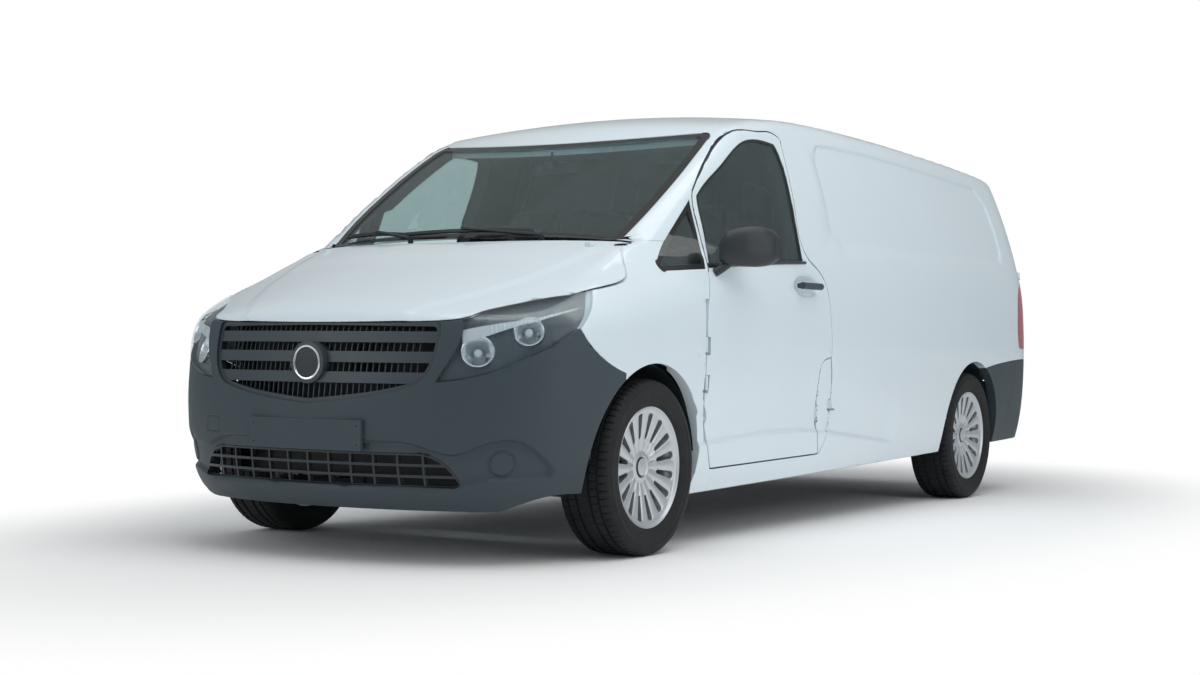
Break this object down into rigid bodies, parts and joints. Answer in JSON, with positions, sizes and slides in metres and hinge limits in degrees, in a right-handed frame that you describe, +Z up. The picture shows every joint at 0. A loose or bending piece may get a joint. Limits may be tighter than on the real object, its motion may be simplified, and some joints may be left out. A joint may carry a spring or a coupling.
{
  "type": "panel van",
  "caption": "Panel van with a raked windscreen, short bonnet, slatted grille, alloy wheels, opening cab doors, bonnet and twin rear doors.",
  "frame": {"origin": "centre of the vehicle's outline on the ground", "axes": "+X forward along the vehicle, +Y to the driver's left, +Z up"},
  "size_m": [5.3703, 2.24, 1.8805],
  "materials": {
    "body_paint": "white gloss paint",
    "bumper_plastic": "grained dark grey plastic",
    "rear_bumper_plastic": "grained grey plastic",
    "grille_plastic": "dark grille plastic",
    "black_plastic": "black plastic",
    "glazing": "clear tinted glass",
    "lamp_lens": "clear lamp lens",
    "lamp_body": "reflector and bezel",
    "tail_lens": "red lamp lens",
    "trim": "cabin trim",
    "seat_cloth": "woven seat cloth",
    "deck": "load floor",
    "chassis_black": "black chassis paint",
    "engine_metal": "plain block",
    "steel": "bare steel",
    "alloy": "silver lacquered alloy",
    "tyre": "tyre rubber"
  },
  "bodies": {
    "van_body": {"side_panel_left": "body_paint", "side_panel_right": "body_paint", "sliding_door": "body_paint", "roof_panel": "body_paint", "front_fenders": "body_paint", "front_bumper": "bumper_plastic", "rear_bumper": "rear_bumper_plastic", "radiator_grille": "grille_plastic", "lower_grille": "black_plastic", "plate_carrier": "bumper_plastic", "headlamps": "lamp_body", "headlamp_lenses": "lamp_lens", "tail_lamps": "tail_lens", "windscreen": "glazing", "quarter_windows": "glazing", "wipers": "black_plastic", "scuttle": "black_plastic", "door_pins": "steel", "rear_door_pins": "steel", "fuel_flap_pin": "steel", "load_floor": "deck", "partition": "deck", "dashboard": "trim", "seats": "seat_cloth", "engine_block": "engine_metal", "front_subframe": "chassis_black", "rear_axle": "chassis_black", "fuel_tank": "black_plastic", "exhaust": "steel", "wheel_housings": "black_plastic"},
    "door_left_body": {"door_left": "body_paint", "door_glass_left": "glazing", "mirror_left": "bumper_plastic", "door_handle_left": "bumper_plastic"},
    "door_right_body": {"door_right": "body_paint", "door_glass_right": "glazing", "mirror_right": "bumper_plastic", "door_handle_right": "bumper_plastic"},
    "bonnet_body": {"bonnet": "body_paint"},
    "rear_door_left_body": {"rear_door_left": "body_paint"},
    "rear_door_right_body": {"rear_door_right": "body_paint"},
    "fuel_flap_body": {"fuel_flap": "body_paint"},
    "steering_wheel_body": {"steering_wheel": "black_plastic"},
    "knuckle_left_body": {"knuckle_left": "steel"},
    "knuckle_right_body": {"knuckle_right": "steel"},
    "wheel_front_left": {"tyre_fl": "tyre", "rim_fl": "alloy"},
    "wheel_front_right": {"tyre_fr": "tyre", "rim_fr": "alloy"},
    "wheel_rear_left": {"tyre_rl": "tyre", "rim_rl": "alloy"},
    "wheel_rear_right": {"tyre_rr": "tyre", "rim_rr": "alloy"}
  },
  "joints": [
    {"name": "door_left_hinge", "type": "hinge", "parent": "van_body", "child": "door_left_body", "pos_m": [1.391, 0.9555, 0.725], "axis": [0, 0, 1], "range_deg": [-70, 0]},
    {"name": "door_right_hinge", "type": "hinge", "parent": "van_body", "child": "door_right_body", "pos_m": [1.391, -0.9555, 0.725], "axis": [0, 0, 1], "range_deg": [0, 70]},
    {"name": "bonnet_hinge", "type": "hinge", "parent": "van_body", "child": "bonnet_body", "pos_m": [1.698, 0, 1.184], "axis": [0, 1, 0], "range_deg": [-50, 0]},
    {"name": "rear_door_left_hinge", "type": "hinge", "parent": "van_body", "child": "rear_door_left_body", "pos_m": [-2.586, 0.868, 1], "axis": [0, 0, 1], "range_deg": [-180, 0]},
    {"name": "rear_door_right_hinge", "type": "hinge", "parent": "van_body", "child": "rear_door_right_body", "pos_m": [-2.586, -0.868, 1], "axis": [0, 0, 1], "range_deg": [0, 180]},
    {"name": "fuel_flap_hinge", "type": "hinge", "parent": "van_body", "child": "fuel_flap_body", "pos_m": [0.2, 0.952, 0.54], "axis": [0, 0, 1], "range_deg": [0, 60]},
    {"name": "steer_left", "type": "hinge", "parent": "van_body", "child": "knuckle_left_body", "pos_m": [1.79, 0.778, 0.334], "axis": [0, 0, 1], "range_deg": [-38, 38]},
    {"name": "steer_right", "type": "hinge", "parent": "van_body", "child": "knuckle_right_body", "pos_m": [1.79, -0.778, 0.334], "axis": [0, 0, 1], "range_deg": [-38, 38]},
    {"name": "steering_wheel_turn", "type": "hinge", "parent": "van_body", "child": "steering_wheel_body", "pos_m": [1.085, 0.4, 1.115], "axis": [-0.5736, 0, 0.8192], "range_deg": [-560, 560]},
    {"name": "wheel_front_left_spin", "type": "hinge", "parent": "knuckle_left_body", "child": "wheel_front_left", "pos_m": [1.79, 0.833, 0.334], "axis": [0, 1, 0], "continuous": true},
    {"name": "wheel_front_right_spin", "type": "hinge", "parent": "knuckle_right_body", "child": "wheel_front_right", "pos_m": [1.79, -0.833, 0.334], "axis": [0, 1, 0], "continuous": true},
    {"name": "wheel_rear_left_spin", "type": "hinge", "parent": "van_body", "child": "wheel_rear_left", "pos_m": [-1.64, 0.823, 0.334], "axis": [0, 1, 0], "continuous": true},
    {"name": "wheel_rear_right_spin", "type": "hinge", "parent": "van_body", "child": "wheel_rear_right", "pos_m": [-1.64, -0.823, 0.334], "axis": [0, 1, 0], "continuous": true}
  ],
  "couplings": [
    {"joint": "steer_right", "follows": "steer_left", "ratio": 1},
    {"joint": "steering_wheel_turn", "follows": "steer_left", "ratio": 14}
  ]
}
